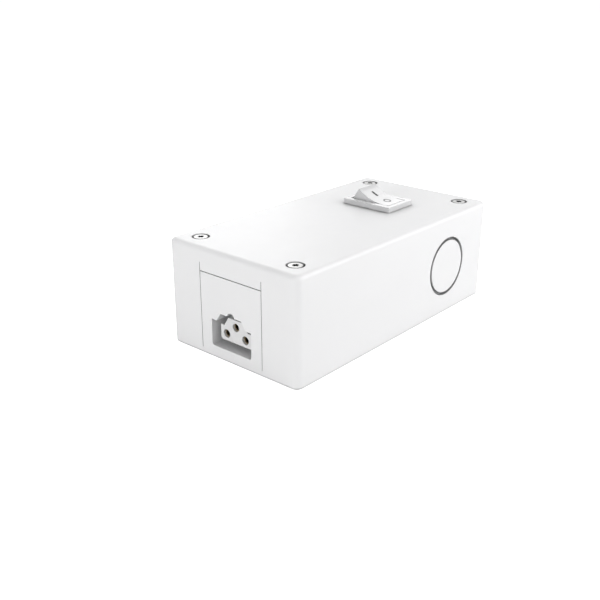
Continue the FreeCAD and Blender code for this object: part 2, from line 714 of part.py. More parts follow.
def make_common_terminal():
    blade = centred_block(BLADE_THICKNESS / 2, BLADE_Y, BLADE_BOTTOM, LEVER_Z, y=SWITCH_Y)
    crest = Part.makeCylinder(BLADE_THICKNESS / 2, 2 * BLADE_Y, LEVER_PIVOT - Y_AXIS * BLADE_Y, Y_AXIS)
    return blade.fuse(crest).removeSplitter()


def make_load_terminal():
    blade = centred_block(BLADE_THICKNESS / 2, BLADE_Y, BLADE_BOTTOM, LEVER_Z, LOAD_BLADE_X, SWITCH_Y)
    pad_bottom = LEVER_Z - LOAD_PAD_THICKNESS
    pad = centred_block(LOAD_PAD_REACH, BLADE_Y, pad_bottom, LEVER_Z, LOAD_BLADE_X, SWITCH_Y)
    return blade.fuse(pad).removeSplitter()


def make_spade_connectors():
    spades = []
    for x in (0.0, LOAD_BLADE_X):
        receptacle = centred_block(SPADE_X, SPADE_Y, SPADE_BOTTOM, SPADE_TOP, x, SWITCH_Y)
        neck = centred_block(SPADE_NECK_X, SPADE_X, SPADE_BOTTOM - SPADE_NECK, SPADE_BOTTOM, x, SWITCH_Y)
        barrel = upright_rod(BARREL_R, x, SWITCH_Y, BARREL_BOTTOM, SPADE_BOTTOM - SPADE_NECK)
        spade = receptacle.multiFuse([neck, barrel])
        slot = centred_block(BLADE_THICKNESS / 2, BLADE_Y, SPADE_SLOT_BOTTOM, SPADE_TOP, x, SWITCH_Y)
        bore = upright_rod(BARREL_BORE_R, x, SWITCH_Y, BARREL_BOTTOM, BARREL_BOTTOM + STRIP)
        spades.append(spade.cut([slot, bore]))
    return Part.makeCompound(spades)


def make_connector_sleeves():
    sleeves = []
    for x in (0.0, LOAD_BLADE_X):
        sleeve = rounded_block(BOOT_X, BOOT_Y, BOOT_BOTTOM, BOOT_TOP, BOOT_WALL, x, SWITCH_Y)
        hollow = centred_block(BOOT_X - BOOT_WALL, BOOT_Y - BOOT_WALL, BOOT_BOTTOM, BOOT_TOP, x, SWITCH_Y)
        sleeves.append(sleeve.cut(hollow))
    return Part.makeCompound(sleeves)


def make_terminal_block():
    body = centred_block(BLOCK_X, BLOCK_HALF_LENGTH, BLOCK_BOTTOM, BLOCK_TOP, y=BLOCK_Y)
    body = body.makeFillet(BLOCK_EDGE_R, edges_at_level(body, BLOCK_TOP))
    cuts = []
    for pole in POLES:
        x = pole * POLE_PITCH
        y0 = BLOCK_Y - BLOCK_HALF_LENGTH
        cuts.append(lengthwise_rod(CLAMP_R, x, CLAMP_Z, y0, y0 + 2 * BLOCK_HALF_LENGTH))
        for side in SIDES:
            cuts.append(upright_rod(BLOCK_WELL_R, x, BLOCK_Y + side * CLAMP_SCREW_Y, CLAMP_Z, BLOCK_TOP))
    for side in SIDES:
        x = side * POLE_PITCH / 2
        cuts.append(upright_rod(BLOCK_SCREW_R + HOLE_PLAY, x, BLOCK_Y, BLOCK_BOTTOM, BLOCK_SCREW_SEAT))
        cuts.append(upright_rod(BLOCK_SCREW_HEAD_R + LOOSE_PLAY, x, BLOCK_Y, BLOCK_SCREW_SEAT, BLOCK_TOP))
    return body.cut(cuts)


def make_terminal_clamps():
    clamps = []
    for pole in POLES:
        x = pole * POLE_PITCH
        y0 = BLOCK_Y - CLAMP_HALF_LENGTH
        y1 = BLOCK_Y + CLAMP_HALF_LENGTH
        cuts = [lengthwise_rod(CLAMP_BORE_R, x, CLAMP_Z, y0, y1)]
        for side in SIDES:
            y = BLOCK_Y + side * CLAMP_SCREW_Y
            cuts.append(upright_rod(CLAMP_SCREW_R, x, y, CLAMP_Z, CLAMP_Z + CLAMP_R))
        clamps.append(lengthwise_rod(CLAMP_R, x, CLAMP_Z, y0, y1).cut(cuts))
    return Part.makeCompound(clamps)


def make_terminal_screws():
    screws = []
    seat = CLAMP_SCREW_TOP - CLAMP_SCREW_HEAD
    length = seat - CLAMP_SCREW_TIP
    for pole in POLES:
        for side in SIDES:
            y = BLOCK_Y + side * CLAMP_SCREW_Y
            screws.append(pan_screw(pole * POLE_PITCH, y, seat, length, CLAMP_SCREW_R,
                                    CLAMP_SCREW_HEAD_R, CLAMP_SCREW_HEAD))
    return Part.makeCompound(screws)


def make_block_screws():
    screws = []
    length = BLOCK_SCREW_SEAT - BLOCK_SCREW_TIP
    for side in SIDES:
        screws.append(pan_screw(side * POLE_PITCH / 2, BLOCK_Y, BLOCK_SCREW_SEAT, length,
                                BLOCK_SCREW_R, BLOCK_SCREW_HEAD_R, BLOCK_SCREW_HEAD))
    return Part.makeCompound(screws)


def rounded_path(points):
    """Straight runs through the points, with an arc of BEND_R at each corner."""
    edges = []
    start = points[0]
    for before, corner, after in zip(points, points[1:], points[2:]):
        back = (before - corner).normalize()
        ahead = (after - corner).normalize()
        half_angle = back.getAngle(ahead) / 2
        run = BEND_R / math.tan(half_angle)
        entry = corner + back * run
        leave = corner + ahead * run
        depth = BEND_R / math.sin(half_angle) - BEND_R
        middle = corner + (back + ahead).normalize() * depth
        edges.append(Part.makeLine(start, entry))
        edges.append(Part.Arc(entry, middle, leave).toShape())
        start = leave
    edges.append(Part.makeLine(start, points[-1]))
    return Part.Wire(edges)


def make_wire(points):
    """Insulated wire: the first and last runs are stripped conductor, the rest is insulation."""
    path = [V(*p) for p in points]
    insulated = path[1:-1]
    section = Part.Wire(Part.makeCircle(WIRE_R, insulated[0], insulated[1] - insulated[0]))
    wire = rounded_path(insulated).makePipeShell([section], True, True)
    for tip, root in ((path[0], path[1]), (path[-1], path[-2])):
        wire = wire.fuse(Part.makeCylinder(CONDUCTOR_R, (root - tip).Length, tip, root - tip))
    return wire.removeSplitter()


def contact_end(pin):
    """Stripped tip, insulation end and first corner of a wire behind a crimp barrel."""
    x, z = pin_positions()[pin]
    return [
        (x, CRIMP_BACK - STRIP + END_GAP, z),
        (x, CRIMP_BACK + END_GAP, z),
        (x, CONTACT_CORNER_Y, z),
    ]


def block_end(pole):
    """First corner, insulation end and stripped tip of a wire at a terminal block pole."""
    x = pole * POLE_PITCH
    mouth = BLOCK_Y - CLAMP_HALF_LENGTH
    return [
        (x, BLOCK_CORNER_Y, CLAMP_Z),
        (x, mouth - END_GAP, CLAMP_Z),
        (x, mouth + STRIP, CLAMP_Z),
    ]


def spade_end(x, level):
    """Stripped tip, insulation end and first corner, at level, of a wire below a spade connector."""
    return [
        (x, SWITCH_Y, BARREL_BOTTOM + STRIP - END_GAP),
        (x, SWITCH_Y, BARREL_BOTTOM - END_GAP),
        (x, SWITCH_Y, level),
    ]


def make_wires():
    supply_run = [
        (SUPPLY_RUN_X, SUPPLY_RUN_Y, SUPPLY_LEVEL),
        (SUPPLY_RUN_X, BLOCK_CORNER_Y, CLAMP_Z),
    ]
    switched_run = [
        (SWITCHED_RUN_X, SWITCHED_RUN_Y, SWITCHED_LEVEL),
        (SWITCHED_RUN_X, SWITCHED_END_Y, SWITCHED_LEVEL),
    ]
    supply = spade_end(0.0, SUPPLY_LEVEL) + supply_run + block_end(LIVE_POLE)
    switched = spade_end(LOAD_BLADE_X, SWITCHED_LEVEL) + switched_run + contact_end("live")[::-1]
    return {
        "supply_live_wire": make_wire(supply),
        "switched_live_wire": make_wire(switched),
        "neutral_wire": make_wire(contact_end("neutral") + block_end(NEUTRAL_POLE)),
        "earth_wire": make_wire(contact_end("earth") + block_end(EARTH_POLE)),
    }


def make_parts():
    parts = {
        "cover": make_cover(),
        "base_plate": make_base_plate(),
        "cover_screws": make_cover_screws(),
        "threaded_inserts": make_inserts(),
        "socket_housing": make_socket_housing(),
        "contact_carrier": make_contact_carrier(),
        "contact_retainer": make_contact_retainer(),
        "retainer_screws": make_retainer_screws(),
        "switch_body": make_switch_body(),
        "rocker": make_rocker(),
        "rocker_plunger": make_plunger(),
        "plunger_spring": make_plunger_spring(),
        "contact_lever": make_contact_lever(),
        "common_terminal": make_common_terminal(),
        "load_terminal": make_load_terminal(),
        "spade_connectors": make_spade_connectors(),
        "connector_sleeves": make_connector_sleeves(),
        "terminal_block": make_terminal_block(),
        "terminal_clamps": make_terminal_clamps(),
        "terminal_screws": make_terminal_screws(),
        "terminal_block_screws": make_block_screws(),
    }
    for name, (x, z) in pin_positions().items():
        parts[name + "_contact"] = make_contact(x, z)
    parts.update(make_wires())
    return parts


os.makedirs("parts", exist_ok=True)
for node, shape in make_parts().items():
    shape.exportStep("parts/" + node + ".step")
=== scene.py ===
import json
import math

import bmesh
import bpy
from mathutils import Matrix, Vector
from mathutils.bvhtree import BVHTree


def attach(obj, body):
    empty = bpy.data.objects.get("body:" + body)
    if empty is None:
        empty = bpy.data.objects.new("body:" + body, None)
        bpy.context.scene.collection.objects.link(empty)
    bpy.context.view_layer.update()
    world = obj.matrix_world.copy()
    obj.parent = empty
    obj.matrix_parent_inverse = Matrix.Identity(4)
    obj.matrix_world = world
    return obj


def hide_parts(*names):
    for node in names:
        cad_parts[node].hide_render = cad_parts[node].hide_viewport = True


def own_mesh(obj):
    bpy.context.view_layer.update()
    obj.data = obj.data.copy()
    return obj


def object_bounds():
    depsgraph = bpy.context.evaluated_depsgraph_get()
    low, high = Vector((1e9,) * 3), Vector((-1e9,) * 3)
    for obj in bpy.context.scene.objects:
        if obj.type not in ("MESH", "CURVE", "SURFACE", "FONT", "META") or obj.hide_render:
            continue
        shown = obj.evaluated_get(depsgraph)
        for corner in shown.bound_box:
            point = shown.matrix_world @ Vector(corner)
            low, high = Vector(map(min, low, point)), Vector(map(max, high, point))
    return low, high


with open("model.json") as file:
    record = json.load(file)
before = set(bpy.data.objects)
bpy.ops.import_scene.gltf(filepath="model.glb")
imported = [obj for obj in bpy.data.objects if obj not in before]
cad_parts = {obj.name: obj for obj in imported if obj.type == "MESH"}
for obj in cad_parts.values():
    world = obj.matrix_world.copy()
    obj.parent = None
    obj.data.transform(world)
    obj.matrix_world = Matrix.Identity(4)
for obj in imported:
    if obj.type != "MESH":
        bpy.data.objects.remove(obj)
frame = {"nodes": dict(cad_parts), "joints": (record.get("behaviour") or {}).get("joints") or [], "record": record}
cad_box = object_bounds()

MM = 0.001
UM = MM * MM
UP = Vector((0, 0, 1))

# Camera: direction from the object and roll in degrees, distance, lens and sensor in millimetres,
# how far the point it aims at lies from the middle of the object, and the depth it shows in metres
AZIMUTH = 40.99
ELEVATION = 22.46
ROLL = 0.14
DISTANCE = 335.5 * MM
LENS = 50.29
SENSOR_WIDTH = 36.0
AIM_OFFSET = Vector((-8.0, -13.6, -15.4)) * MM
CLIP_START = 0.01
CLIP_END = 50.0

# Symbols on the rocker, in its level position: distance from the pivot along the rocker, sizes, and
# the height over the pivot from which they are projected down on it
BAR_OFFSET = 3.1 * MM
RING_OFFSET = 3.4 * MM
MARK_LIFT = 0.015 * MM
MARK_THICKNESS = 0.05 * MM
BAR_LENGTH = 3.2 * MM
BAR_WIDTH = 1.1 * MM
RING_R = 1.35 * MM
RING_WIDTH = 0.52 * MM
RING_STEPS = 72
BAR_STEPS = 16
PROJECT_FROM = 20 * MM

# Noise values mostly stay between these two, so a remap stretches that range unless told otherwise
NOISE_LOW = 0.3
NOISE_HIGH = 0.7

# Edge mask: how well the rounded normal agrees with the true one (1 is fully) where the mask is full
# and where it ends
EDGE_FULL = 0.75
EDGE_END = 0.995

# Painted shade in hollows: how wide a hollow gets it, in millimetres, and how strongly it shows.
# Openness runs from 0 to 1: the painted shade is strongest up to SHUT and gone from CLEAR on.
HOLLOW_SAMPLES = 8
CREASE_SHADE_REACH = 1.6
CREASE_SHADE_SHUT = 0.35
CREASE_SHADE_CLEAR = 0.9
HALO_SHADE_REACH = 5.0
HALO_SHADE_SHUT = 0.5
HALO_SHADE_CLEAR = 0.94
SLOT_REACH = 2.0
SLOT_SHADE_STRENGTH = 0.97
SLOT_SHUT = 0.62
SLOT_CLEAR = 0.98
BORE_REACH = 4.0
BORE_SHADE_STRENGTH = 0.92
BORE_SHUT = 0.1
BORE_CLEAR = 0.7

# Stage: floor half size in metres, its tone, the share of it that the darkest patches keep and their
# size in millimetres, and the surroundings. FLOOR_GLOW is the floor's own light, and FLOOR_LIFT what
# the camera sees on top of it.
FLOOR_HALF = 6.0
FLOOR_TONE = 0.8
FLOOR_UNEVEN = 0.99
FLOOR_PATCH = 400
FLOOR_ROUGHNESS = 0.9
FLOOR_GLOW = 0.037
FLOOR_LIFT = 0.97
WORLD_STRENGTH = 0.031
BACKDROP_STRENGTH = 1.1
WHITE = (1, 1, 1, 1)

# Softboxes: azimuth and elevation in degrees, distance and size in metres, power in watts
LIGHTS = {
    "left_near_softbox": (-75, 38, 0.45, 0.3, 0.36),
    "overhead_near_softbox": (-20, 60, 0.34, 0.22, 0.07),
    "right_high_softbox": (115, 45, 0.8, 0.8, 3.63),
    "right_front_softbox": (60, 30, 0.8, 0.4, 0.97),
    "right_back_softbox": (130, 18, 0.8, 0.7, 4.6),
    "front_softbox": (0, 9, 0.8, 0.3, 3.6),
    "left_back_softbox": (215, 35, 0.8, 0.8, 3.02),
    "left_low_softbox": (240, 20, 0.8, 0.5, 1.03),
}


# ---------------------------------------------------------------- helpers

def joint_named(name):
    return next(joint for joint in frame["joints"] if joint["name"] == name)


def toned(tint, factor):
    """The tint made darker or lighter."""
    return [min(1, c * factor) for c in tint]


class Shader:
    """Builds one material's node tree. Sizes are in millimetres of the object, relief in micrometres."""

    def __init__(self, name):
        self.material = bpy.data.materials.new(name)
        self.material.use_nodes = True
        self.tree = self.material.node_tree
        self.tree.nodes.clear()
        self.coords = self.add("ShaderNodeTexCoord").outputs["Object"]

    def add(self, kind, inputs=None, **settings):
        """Adds a node. Each input is a value or another node's socket."""
        node = self.tree.nodes.new(kind)
        for key, value in settings.items():
            setattr(node, key, value)
        for key, value in (inputs or {}).items():
            if isinstance(value, bpy.types.NodeSocket):
                self.tree.links.new(value, node.inputs[key])
            else:
                node.inputs[key].default_value = value
        return node

    def noise(self, size_mm, detail=2.0, coords=None, rough=0.5):
        node = self.add("ShaderNodeTexNoise", {
            "Vector": self.coords if coords is None else coords,
            "Scale": 1 / (size_mm * MM),
            "Detail": detail,
            "Roughness": rough,
        })
        return node.outputs["Fac"]

    def stretched(self, scale):
        return self.add("ShaderNodeMapping", {"Vector": self.coords, "Scale": scale}).outputs["Vector"]

    def remap(self, value, low, high, from_low=NOISE_LOW, from_high=NOISE_HIGH):
        node = self.add("ShaderNodeMapRange", {
            "Value": value,
            "From Min": from_low,
            "From Max": from_high,
            "To Min": low,
            "To Max": high,
        })
        return node.outputs["Result"]

    def vary(self, value, middle, less, more):
        """Runs from middle - less to middle + more with a noise value."""
        return self.remap(value, middle - less, middle + more)

    def maths(self, operation, *values):
        return self.add("ShaderNodeMath", dict(enumerate(values)), operation=operation).outputs[0]

    def mix(self, factor, a, b):
        """Blends from colour a to colour b, each a socket or three numbers."""
        inputs = {"Factor": factor}
        for key, value in (("A", a), ("B", b)):
            inputs[key] = value if isinstance(value, bpy.types.NodeSocket) else (*value, 1)
        return self.add("ShaderNodeMix", inputs, data_type="RGBA").outputs["Result"]

    def bump(self, height, depth_um, normal=None):
        inputs = {"Height": height, "Distance": depth_um * UM}
        if normal is not None:
            inputs["Normal"] = normal
        return self.add("ShaderNodeBump", inputs).outputs["Normal"]

    def soft_edge(self, radius_mm, samples=6):
        """Shading normal with rounded edges, and a mask that is 1 on an edge."""
        normal = self.add("ShaderNodeBevel", {"Radius": radius_mm * MM}, samples=samples).outputs["Normal"]
        plain = self.add("ShaderNodeNewGeometry").outputs["Normal"]
        facing = self.add("ShaderNodeVectorMath", {0: normal, 1: plain}, operation="DOT_PRODUCT")
        mask = self.remap(facing.outputs["Value"], 1.0, 0.0, EDGE_FULL, EDGE_END)
        return normal, mask

    def crevice(self, reach_mm, strength, shut, clear):
        """0 on open surfaces, rising to strength inside hollows narrower than reach_mm."""
        inputs = {"Distance": reach_mm * MM}
        shade = self.add("ShaderNodeAmbientOcclusion", inputs, samples=HOLLOW_SAMPLES)
        return self.remap(shade.outputs["AO"], strength, 0.0, shut, clear)

    def finish(self, inputs):
        surface = self.add("ShaderNodeBsdfPrincipled", inputs)
        self.add("ShaderNodeOutputMaterial", {"Surface": surface.outputs["BSDF"]})
        return self.material


# ---------------------------------------------------------------- moulded plastic

# Flow marks, drawn out along the box, and how much darker they are
FLOW_MM = 28
FLOW_STRETCH = (1, 0.35, 1)
FLOW_SHADE = 0.985

# Rubbed edges: how far and how much lighter they turn, and how much smoother
RUBBED_COVER = 0.5
RUBBED_SHADE = 1.02
RUBBED_POLISH = 0.06

# Tone of the painted shade in hollows, the upward parts of the normal between which a face comes to count as
# turned upwards, handling marks, the grain's change of roughness, and shallow sink marks
PAINTED_SHADE_TONE = 0.2
UPWARD_START = 0.3
UPWARD_FULL = 0.8
HANDLING_MM = 5
GRAIN_SHEEN = 0.02
SINK_MM = 9
SINK_UM = 12

# The plastic itself: its lacquer's roughness and how far light of each colour goes inside it
PLASTIC_IOR = 1.49
LACQUER_ROUGHNESS = 0.09
MILKY_RADIUS = (1.2 * MM, 1.1 * MM, 1.0 * MM)


def moulded_plastic(
    name, tint, gloss, grain_mm, grain_um, edge_mm=0.12,
    milky=0.0, flank_shade=None, lacquer=0.0, crease_shade=0.8, crease_shade_reach=CREASE_SHADE_REACH, halo_shade=0.7,
):
    """Injection-moulded plastic: fine mould grain, slow flow marks, rubbed edges, painted shade in crevices, and
    a painted shadow on upward faces in wider hollows.
    With a flank tint, upright faces take that duller tint as painted shade and faces turned upwards keep the plain
    one."""
    s = Shader(name)
    flow = s.noise(FLOW_MM, detail=3, coords=s.stretched(FLOW_STRETCH))
    grain = s.noise(grain_mm, detail=3, rough=0.6)
    handling = s.noise(HANDLING_MM, detail=4)
    normal, edge = s.soft_edge(edge_mm)
    colour = s.mix(s.remap(flow, low=0, high=1), toned(tint, FLOW_SHADE), tint)
    facing = s.add("ShaderNodeTexCoord").outputs["Normal"]
    height = s.add("ShaderNodeSeparateXYZ", {"Vector": facing}).outputs["Z"]
    upward = s.remap(height, 0, 1, UPWARD_START, UPWARD_FULL)
    # Painted shade: upright faces take the darker flank tint, as if less lit than the faces turned upwards
    if flank_shade is not None:
        colour = s.mix(upward, flank_shade, colour)
    colour = s.mix(s.maths("MULTIPLY", edge, RUBBED_COVER), colour, toned(tint, RUBBED_SHADE))
    grey = toned(tint, PAINTED_SHADE_TONE)
    # Painted shadow: a wide dark halo on upward faces in hollows next to raised parts, such as round the switch
    hollow = s.crevice(HALO_SHADE_REACH, halo_shade, HALO_SHADE_SHUT, HALO_SHADE_CLEAR)
    colour = s.mix(s.maths("MULTIPLY", upward, hollow), colour, grey)
    # Painted shade: narrow creases and gaps between parts are turned darker
    colour = s.mix(s.crevice(crease_shade_reach, crease_shade, CREASE_SHADE_SHUT, CREASE_SHADE_CLEAR), colour, grey)
    roughness = s.vary(handling, gloss, less=0.03, more=0.04)
    roughness = s.maths("ADD", roughness, s.remap(grain, -GRAIN_SHEEN, GRAIN_SHEEN))
    roughness = s.maths("SUBTRACT", roughness, s.maths("MULTIPLY", edge, RUBBED_POLISH))
    normal = s.bump(s.noise(SINK_MM), SINK_UM, normal)
    normal = s.bump(grain, grain_um, normal)
    return s.finish({
        "Base Color": colour,
        "Roughness": roughness,
        "Normal": normal,
        "IOR": PLASTIC_IOR,
        "Coat Weight": lacquer,
        "Coat Roughness": LACQUER_ROUGHNESS,
        "Subsurface Weight": milky,
        "Subsurface Radius": MILKY_RADIUS,
    })


# ---------------------------------------------------------------- metals

# Plated metal: tumbling marks, tarnish patches, streaks drawn across the length, and bright edges
TUMBLE_MM = 0.35
PATCH_MM = 1.6
PATCH_COVER = 0.22
STREAK_MM = 0.25
STREAK_STRETCH = (1, 6, 1)
METAL_EDGE_MM = 0.06
METAL_EDGE_SAMPLES = 4
BRIGHT_COVER = 0.6
BRIGHT_SHADE = 1.25
# Tone of the painted shade in slots
SLOT_SHADE = 0.06

# Brass: tool rings, uneven lacquer, its tone where the lacquer is thick, and bright edges
RINGS_SCALE = 900.0
RINGS_UM = 2
LACQUER_MM = 1.2
LACQUER_TONE = (0.62, 0.52, 0.4)
BRASS_EDGE_COVER = 0.5
BRASS_EDGE_TINT = (1.0, 0.86, 0.55)
# Tone of the painted shade in bores
BORE_SHADE = 0.08


def plated_metal(name, tint, gloss, grain_um, edge_mm=METAL_EDGE_MM, tarnish=(0.36, 0.35, 0.34)):
    """Plated or drawn metal: fine tumbling marks, patches of tarnish, bright edges, painted shade in slots."""
    s = Shader(name)
    tumble = s.noise(TUMBLE_MM, detail=5, rough=0.65)
    patch = s.noise(PATCH_MM, detail=3)
    streak = s.noise(STREAK_MM, coords=s.stretched(STREAK_STRETCH))
    normal, edge = s.soft_edge(edge_mm, METAL_EDGE_SAMPLES)
    colour = s.mix(s.remap(patch, low=0, high=PATCH_COVER), tint, tarnish)
    colour = s.mix(s.maths("MULTIPLY", edge, BRIGHT_COVER), colour, toned(tint, BRIGHT_SHADE))
    # Painted shade: narrow slots, such as a screw's cross, are turned dark
    hollow_shade = s.crevice(SLOT_REACH, SLOT_SHADE_STRENGTH, SLOT_SHUT, SLOT_CLEAR)
    colour = s.mix(hollow_shade, colour, toned(tint, SLOT_SHADE))
    normal = s.bump(streak, grain_um, normal)
    normal = s.bump(tumble, grain_um, normal)
    return s.finish({
        "Base Color": colour,
        "Metallic": 1.0,
        "Roughness": s.vary(tumble, gloss, less=0.06, more=0.1),
        "Normal": normal,
    })


def turned_brass(name, tint, gloss):
    """Machined brass: tool rings across the length, uneven lacquer and painted shade in hollows."""
    s = Shader(name)
    rings = s.add("ShaderNodeTexWave", {
        "Vector": s.coords,
        "Scale": RINGS_SCALE,
        "Distortion": 1.5,
        "Detail": 2.0,
        "Detail Scale": 2.0,
    }, bands_direction="Y").outputs["Fac"]
    lacquer = s.noise(LACQUER_MM, detail=3)
    normal, edge = s.soft_edge(METAL_EDGE_MM, METAL_EDGE_SAMPLES)
    deep = [c * tone for c, tone in zip(tint, LACQUER_TONE)]
    colour = s.mix(s.remap(lacquer, low=0.1, high=0.6), tint, deep)
    colour = s.mix(s.maths("MULTIPLY", edge, BRASS_EDGE_COVER), colour, BRASS_EDGE_TINT)
    # Painted shade: deep bores are turned dark
    hollow_shade = s.crevice(BORE_REACH, BORE_SHADE_STRENGTH, BORE_SHUT, BORE_CLEAR)
    colour = s.mix(hollow_shade, colour, toned(tint, BORE_SHADE))
    return s.finish({
        "Base Color": colour,
        "Metallic": 1.0,
        "Roughness": s.vary(lacquer, gloss, less=0.05, more=0.12),
        "Normal": s.bump(rings, RINGS_UM, normal),
    })


# ---------------------------------------------------------------- wires and ink

# Wire insulation: bloom, scuffs and lengthwise die lines
BLOOM_MM = 4
BLOOM_WHITENING = 0.12
SCUFF_MM = 0.5
SCUFF_UM = 4
DIE_LINE_MM = 0.3
DIE_LINE_STRETCH = (1, 0.08, 1)
DIE_LINE_UM = 6
PVC_IOR = 1.53

# Printed ink: size and relief of its uneven cover, and how much lighter it is where worn
COVER_MM = 0.18
COVER_UM = 3
INK_WEAR = 0.1


def wire_insulation(name, tint):
    """Soft extruded PVC: faint lengthwise die lines, a powdery bloom and small scuffs."""
    s = Shader(name)
    bloom = s.noise(BLOOM_MM, detail=4)
    scuff = s.noise(SCUFF_MM, detail=5, rough=0.7)
    lines = s.noise(DIE_LINE_MM, detail=1, coords=s.stretched(DIE_LINE_STRETCH))
    pale = [c + (1 - c) * BLOOM_WHITENING for c in tint]
    return s.finish({
        "Base Color": s.mix(s.remap(bloom, low=0, high=0.5), tint, pale),
        "Roughness": s.remap(scuff, low=0.38, high=0.6),
        "Normal": s.bump(scuff, SCUFF_UM, s.bump(lines, DIE_LINE_UM)),
        "IOR": PVC_IOR,
    })


def symbol_ink(name, tint):
    """Pad-printed ink: slightly uneven cover and a dry surface."""
    s = Shader(name)
    cover = s.noise(COVER_MM, detail=4, rough=0.6)
    worn = [c + INK_WEAR for c in tint]
    return s.finish({
        "Base Color": s.mix(s.remap(cover, low=0, high=0.5), tint, worn),
        "Roughness": s.remap(cover, low=0.45, high=0.65),
        "Normal": s.bump(cover, COVER_UM),
    })


# ---------------------------------------------------------------- materials

HOUSING = {"tint": (0.72, 0.72, 0.725), "gloss": 0.38, "grain_mm": 0.22, "grain_um": 2.2}

# Each material's maker and settings. A key is a material slot of the record or the name of one node.
MATERIALS = {
    "white_housing": (moulded_plastic, HOUSING),
    "socket_housing": (moulded_plastic, {**HOUSING, "halo_shade": 0.2}),
    "carrier_plastic": (moulded_plastic, {
        "tint": (0.67, 0.67, 0.67), "gloss": 0.46, "grain_mm": 0.18, "grain_um": 3.0,
        "crease_shade": 0.1, "halo_shade": 0.1,
    }),
    "switch_plastic": (moulded_plastic, {
        "tint": (0.63, 0.63, 0.635), "gloss": 0.24, "grain_mm": 0.16, "grain_um": 1.2, "edge_mm": 0.1,
        # Its flank tint is painted shade on the upright sides of the bezel and rocker
        "flank_shade": (0.55, 0.55, 0.555), "lacquer": 1.0, "crease_shade": 0.6, "crease_shade_reach": 0.5, "halo_shade": 0.08,
    }),
    "nylon": (moulded_plastic, {
        "tint": (0.8, 0.78, 0.7), "gloss": 0.42, "grain_mm": 0.2, "grain_um": 3.0, "milky": 0.25,
    }),
    "plated_steel": (plated_metal, {
        "tint": (0.45, 0.45, 0.445), "gloss": 0.3, "grain_um": 2.0, "edge_mm": 0.5,
        "tarnish": (0.25, 0.245, 0.24),
    }),
    "spring_steel": (plated_metal, {"tint": (0.5, 0.5, 0.5), "gloss": 0.32, "grain_um": 1.5}),
    "plated_copper": (plated_metal, {
        "tint": (0.85, 0.6, 0.47), "gloss": 0.3, "grain_um": 2.0, "tarnish": (0.35, 0.18, 0.1),
    }),
    "tinned_brass": (plated_metal, {
        "tint": (0.72, 0.7, 0.62), "gloss": 0.33, "grain_um": 2.0, "tarnish": (0.4, 0.34, 0.22),
    }),
    "brass": (turned_brass, {"tint": (0.66, 0.53, 0.32), "gloss": 0.3}),
    "black_insulation": (wire_insulation, {"tint": (0.02, 0.02, 0.022)}),
    "red_insulation": (wire_insulation, {"tint": (0.45, 0.02, 0.018)}),
    "white_insulation": (wire_insulation, {"tint": (0.78, 0.78, 0.75)}),
    "green_insulation": (wire_insulation, {"tint": (0.03, 0.24, 0.06)}),
}
INK_TINT = (0.012, 0.012, 0.013)


def paint_nodes():
    """Gives every CAD node its own material, or else the one of its slot in the record."""
    materials = {name: maker(name, **settings) for name, (maker, settings) in MATERIALS.items()}
    for row in frame["record"]["subparts"]:
        node = frame["nodes"][row["node"]]
        node.data.materials.clear()
        node.data.materials.append(materials.get(row["node"]) or materials[row["material_slot"]])


# ---------------------------------------------------------------- plunger spring

def make_coil():
    """Spring of the rocker's plunger, a copy of the CAD spring carried with the rocker."""
    source = frame["nodes"]["plunger_spring"]
    coil = bpy.data.objects.new("plunger_coil", source.data.copy())
    bpy.context.scene.collection.objects.link(coil)
    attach(coil, "rocker")
    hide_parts("plunger_spring")
    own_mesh(coil)


# ---------------------------------------------------------------- rocker symbols

def rocker_frame():
    """Matrix from the rocker's level position about its pivot to its place at rest."""
    joint = joint_named("rocker_tilt")
    tilt = math.radians(sum(joint["range_deg"]) / 2)
    turn = Matrix.Rotation(-tilt, 4, Vector(joint["axis"]))
    return Matrix.Translation(Vector(joint["pos_m"])) @ turn


def laid_on_rocker(name, columns, closed):
    """Thin printed strip on the rocker's dish. Each column holds two plan points, one on each edge."""
    rocker = frame["nodes"]["rocker"]
    surface = BVHTree.FromObject(rocker, bpy.context.evaluated_depsgraph_get())
    place = rocker_frame()
    down = place.to_3x3() @ -UP
    mesh = bmesh.new()
    rows = []
    for pair in columns:
        row = []
        for plan in pair:
            start = place @ Vector((*plan, PROJECT_FROM))
            hit = surface.ray_cast(start, down)[0]
            foot = hit - down * (MARK_LIFT - MARK_THICKNESS)
            row.append((mesh.verts.new(hit - down * MARK_LIFT), mesh.verts.new(foot)))
        rows.append(row)
    count = len(rows)
    for i in range(count if closed else count - 1):
        (a_top, a_low), (b_top, b_low) = rows[i]
        (d_top, d_low), (c_top, c_low) = rows[(i + 1) % count]
        mesh.faces.new((a_top, b_top, c_top, d_top))
        mesh.faces.new((d_low, c_low, b_low, a_low))
        mesh.faces.new((a_low, a_top, d_top, d_low))
        mesh.faces.new((b_top, b_low, c_low, c_top))
    if not closed:
        for (a_top, a_low), (b_top, b_low) in (rows[0], rows[-1]):
            mesh.faces.new((a_top, a_low, b_low, b_top))
    bmesh.ops.recalc_face_normals(mesh, faces=mesh.faces)
    data = bpy.data.meshes.new(name)
    mesh.to_mesh(data)
    mesh.free()
    piece = bpy.data.objects.new(name, data)
    bpy.context.scene.collection.objects.link(piece)
    return piece


